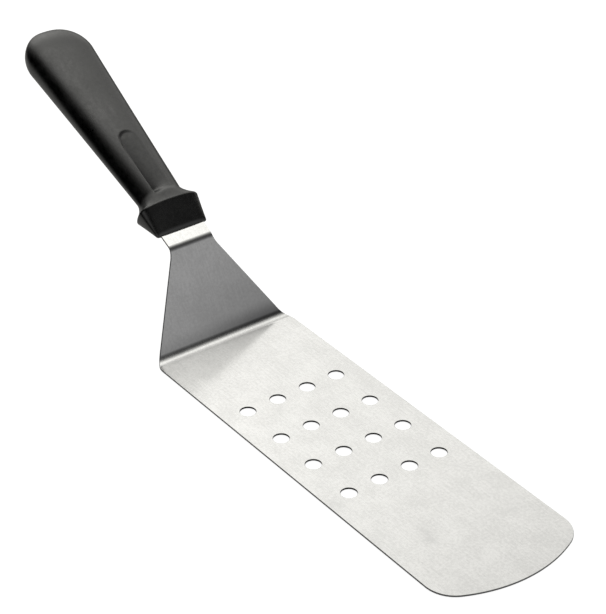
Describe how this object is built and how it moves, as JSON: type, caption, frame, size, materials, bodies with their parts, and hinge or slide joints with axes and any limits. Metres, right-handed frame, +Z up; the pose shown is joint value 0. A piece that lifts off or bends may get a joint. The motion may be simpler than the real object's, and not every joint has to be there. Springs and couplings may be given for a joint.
{
  "type": "grill spatula",
  "caption": "Offset grill spatula: long flat perforated steel blade, steep tapering riser, and a black moulded plastic handle with a flared guard and a thumb recess.",
  "frame": {"origin": "middle of the bounding box in X and Y, at the underside of the blade, where the spatula rests", "axes": "+X from the handle towards the blade's tip, +Z up out of the blade's top face, +Y across the blade"},
  "size_m": [0.36, 0.073, 0.0998],
  "materials": {
    "stainless": "satin",
    "handle_plastic": "matte"
  },
  "bodies": {
    "root": {"blade": "stainless", "handle": "handle_plastic"}
  },
  "joints": []
}
